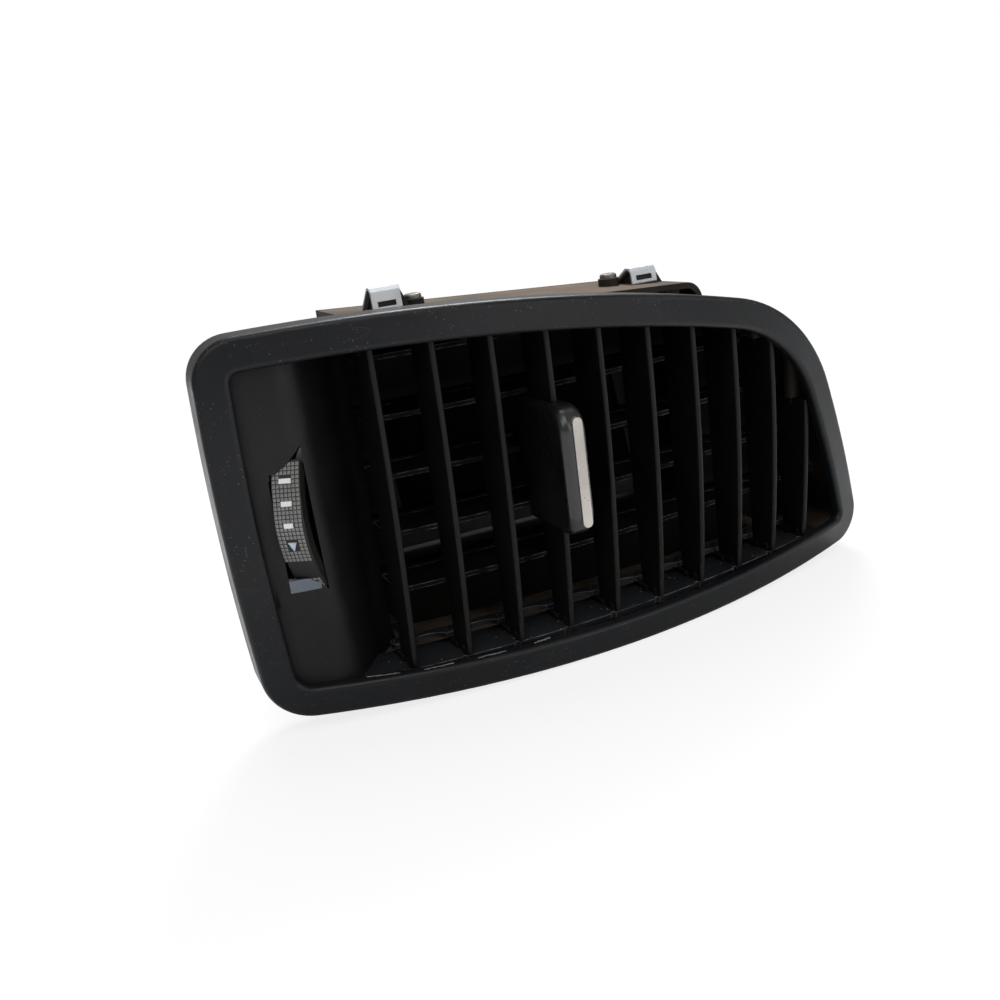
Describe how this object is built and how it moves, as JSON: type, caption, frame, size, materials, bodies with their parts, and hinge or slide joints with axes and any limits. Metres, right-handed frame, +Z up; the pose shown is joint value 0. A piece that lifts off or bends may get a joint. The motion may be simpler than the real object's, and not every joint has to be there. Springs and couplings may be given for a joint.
{
  "type": "dashboard air duct",
  "caption": "Side air vent for a car dashboard: curved black face, upright and level vanes, a sliding knob, a thumbwheel and a damper in the duct behind.",
  "frame": {"origin": "middle of the bezel's width and height, on the plane that touches the foremost point of its curved face", "axes": "+X to the viewer's right, +Y into the dashboard along the airway, +Z up"},
  "size_m": [0.2198, 0.1168, 0.1174],
  "materials": {
    "soft_black": "satin",
    "black_plastic": "satin",
    "grey_blue_plastic": "satin",
    "bright_trim": "gloss",
    "spring_steel": "satin",
    "screw_steel": "satin",
    "foam": "matte"
  },
  "bodies": {
    "frame": {"bezel": "soft_black", "control_panel": "soft_black", "indicator_block": "grey_blue_plastic", "wheel_bracket": "black_plastic", "wheel_axle": "spring_steel", "front_housing": "black_plastic", "lower_carrier": "black_plastic", "rear_housing": "black_plastic", "inlet_gasket": "foam", "top_clip_left": "spring_steel", "top_clip_right": "spring_steel", "bottom_clip_left": "spring_steel", "bottom_clip_right": "spring_steel", "clip_screws": "screw_steel", "back_screws": "screw_steel"},
    "upright_01": {"vertical_vane_01": "black_plastic"},
    "upright_02": {"vertical_vane_02": "black_plastic"},
    "upright_03": {"vertical_vane_03": "black_plastic"},
    "upright_04": {"vertical_vane_04": "black_plastic"},
    "upright_05": {"vertical_vane_05": "black_plastic"},
    "upright_06": {"vertical_vane_06": "black_plastic"},
    "upright_07": {"vertical_vane_07": "black_plastic"},
    "upright_08": {"vertical_vane_08": "black_plastic"},
    "upright_09": {"vertical_vane_09": "black_plastic"},
    "upright_10": {"vertical_vane_10": "black_plastic"},
    "upright_bar": {"vertical_link_bar": "black_plastic"},
    "level_1": {"horizontal_vane_1": "black_plastic"},
    "level_2": {"horizontal_vane_2": "black_plastic"},
    "level_3": {"horizontal_vane_3": "black_plastic"},
    "level_4": {"horizontal_vane_4": "black_plastic"},
    "level_5": {"horizontal_vane_5": "black_plastic"},
    "level_bar": {"horizontal_link_bar": "black_plastic"},
    "knob": {"knob_body": "soft_black", "knob_insert": "bright_trim", "knob_fork": "black_plastic"},
    "wheel": {"thumbwheel": "black_plastic"},
    "flap": {"damper_flap": "black_plastic", "damper_seal": "foam"},
    "rod": {"damper_rod": "black_plastic"}
  },
  "joints": [
    {"name": "upright_01_turn", "type": "hinge", "parent": "frame", "child": "upright_01", "pos_m": [-0.0638, 0.01532, 0], "axis": [0, 0, 1], "range_deg": [-22, 22]},
    {"name": "upright_02_turn", "type": "hinge", "parent": "frame", "child": "upright_02", "pos_m": [-0.04735, 0.01382, 0], "axis": [0, 0, 1], "range_deg": [-22, 22]},
    {"name": "upright_03_turn", "type": "hinge", "parent": "frame", "child": "upright_03", "pos_m": [-0.0309, 0.01308, 0], "axis": [0, 0, 1], "range_deg": [-22, 22]},
    {"name": "upright_04_turn", "type": "hinge", "parent": "frame", "child": "upright_04", "pos_m": [-0.01445, 0.01311, 0], "axis": [0, 0, 1], "range_deg": [-22, 22]},
    {"name": "upright_05_turn", "type": "hinge", "parent": "frame", "child": "upright_05", "pos_m": [0.002, 0.01389, 0], "axis": [0, 0, 1], "range_deg": [-22, 22]},
    {"name": "upright_06_turn", "type": "hinge", "parent": "frame", "child": "upright_06", "pos_m": [0.01845, 0.01544, 0], "axis": [0, 0, 1], "range_deg": [-22, 22]},
    {"name": "upright_07_turn", "type": "hinge", "parent": "frame", "child": "upright_07", "pos_m": [0.0349, 0.01776, 0], "axis": [0, 0, 1], "range_deg": [-22, 22]},
    {"name": "upright_08_turn", "type": "hinge", "parent": "frame", "child": "upright_08", "pos_m": [0.05135, 0.02087, 0], "axis": [0, 0, 1], "range_deg": [-22, 22]},
    {"name": "upright_09_turn", "type": "hinge", "parent": "frame", "child": "upright_09", "pos_m": [0.0678, 0.02479, 0], "axis": [0, 0, 1], "range_deg": [-22, 22]},
    {"name": "upright_10_turn", "type": "hinge", "parent": "frame", "child": "upright_10", "pos_m": [0.08425, 0.02955, 0], "axis": [0, 0, 1], "range_deg": [-22, 22]},
    {"name": "upright_bar_swing", "type": "hinge", "parent": "upright_04", "child": "upright_bar", "pos_m": [-0.01445, 0.02511, -0.0428], "axis": [0, 0, 1], "range_deg": [-22, 22]},
    {"name": "level_1_tilt", "type": "hinge", "parent": "frame", "child": "level_1", "pos_m": [0, 0.044, 0.0422], "axis": [1, 0, 0], "range_deg": [-15, 15]},
    {"name": "level_2_tilt", "type": "hinge", "parent": "frame", "child": "level_2", "pos_m": [0, 0.044, 0.0249], "axis": [1, 0, 0], "range_deg": [-15, 15]},
    {"name": "level_3_tilt", "type": "hinge", "parent": "frame", "child": "level_3", "pos_m": [0, 0.044, 0.0076], "axis": [1, 0, 0], "range_deg": [-15, 15]},
    {"name": "level_4_tilt", "type": "hinge", "parent": "frame", "child": "level_4", "pos_m": [0, 0.044, -0.0097], "axis": [1, 0, 0], "range_deg": [-15, 15]},
    {"name": "level_5_tilt", "type": "hinge", "parent": "frame", "child": "level_5", "pos_m": [0, 0.044, -0.027], "axis": [1, 0, 0], "range_deg": [-15, 15]},
    {"name": "level_bar_swing", "type": "hinge", "parent": "level_3", "child": "level_bar", "pos_m": [-0.0671, 0.05, 0.0076], "axis": [1, 0, 0], "range_deg": [-15, 15]},
    {"name": "knob_slide", "type": "slide", "parent": "upright_04", "child": "knob", "axis": [0, 0, 1], "range_m": [-0.0048, 0.0048]},
    {"name": "wheel_turn", "type": "hinge", "parent": "frame", "child": "wheel", "pos_m": [-0.07599, 0.03269, 0.0065], "axis": [0.8387, -0.5446, 0], "range_deg": [-75, 0]},
    {"name": "flap_turn", "type": "hinge", "parent": "frame", "child": "flap", "pos_m": [0.002, 0.083, -0.005], "axis": [1, 0, 0], "range_deg": [-75, 0]},
    {"name": "rod_swing", "type": "hinge", "parent": "wheel", "child": "rod", "pos_m": [-0.07702, 0.04102, 0.01416], "axis": [0.8387, -0.5446, 0], "range_deg": [0, 75]}
  ],
  "couplings": [
    {"joint": "upright_01_turn", "follows": "upright_04_turn", "ratio": 1},
    {"joint": "upright_02_turn", "follows": "upright_04_turn", "ratio": 1},
    {"joint": "upright_03_turn", "follows": "upright_04_turn", "ratio": 1},
    {"joint": "upright_05_turn", "follows": "upright_04_turn", "ratio": 1},
    {"joint": "upright_06_turn", "follows": "upright_04_turn", "ratio": 1},
    {"joint": "upright_07_turn", "follows": "upright_04_turn", "ratio": 1},
    {"joint": "upright_08_turn", "follows": "upright_04_turn", "ratio": 1},
    {"joint": "upright_09_turn", "follows": "upright_04_turn", "ratio": 1},
    {"joint": "upright_10_turn", "follows": "upright_04_turn", "ratio": 1},
    {"joint": "upright_bar_swing", "follows": "upright_04_turn", "ratio": -1},
    {"joint": "level_1_tilt", "follows": "level_3_tilt", "ratio": 1},
    {"joint": "level_2_tilt", "follows": "level_3_tilt", "ratio": 1},
    {"joint": "level_4_tilt", "follows": "level_3_tilt", "ratio": 1},
    {"joint": "level_5_tilt", "follows": "level_3_tilt", "ratio": 1},
    {"joint": "level_bar_swing", "follows": "level_3_tilt", "ratio": -1},
    {"joint": "knob_slide", "follows": "level_3_tilt", "m_per_rad": -0.01719},
    {"joint": "flap_turn", "follows": "wheel_turn", "ratio": 1},
    {"joint": "rod_swing", "follows": "wheel_turn", "ratio": -1}
  ]
}
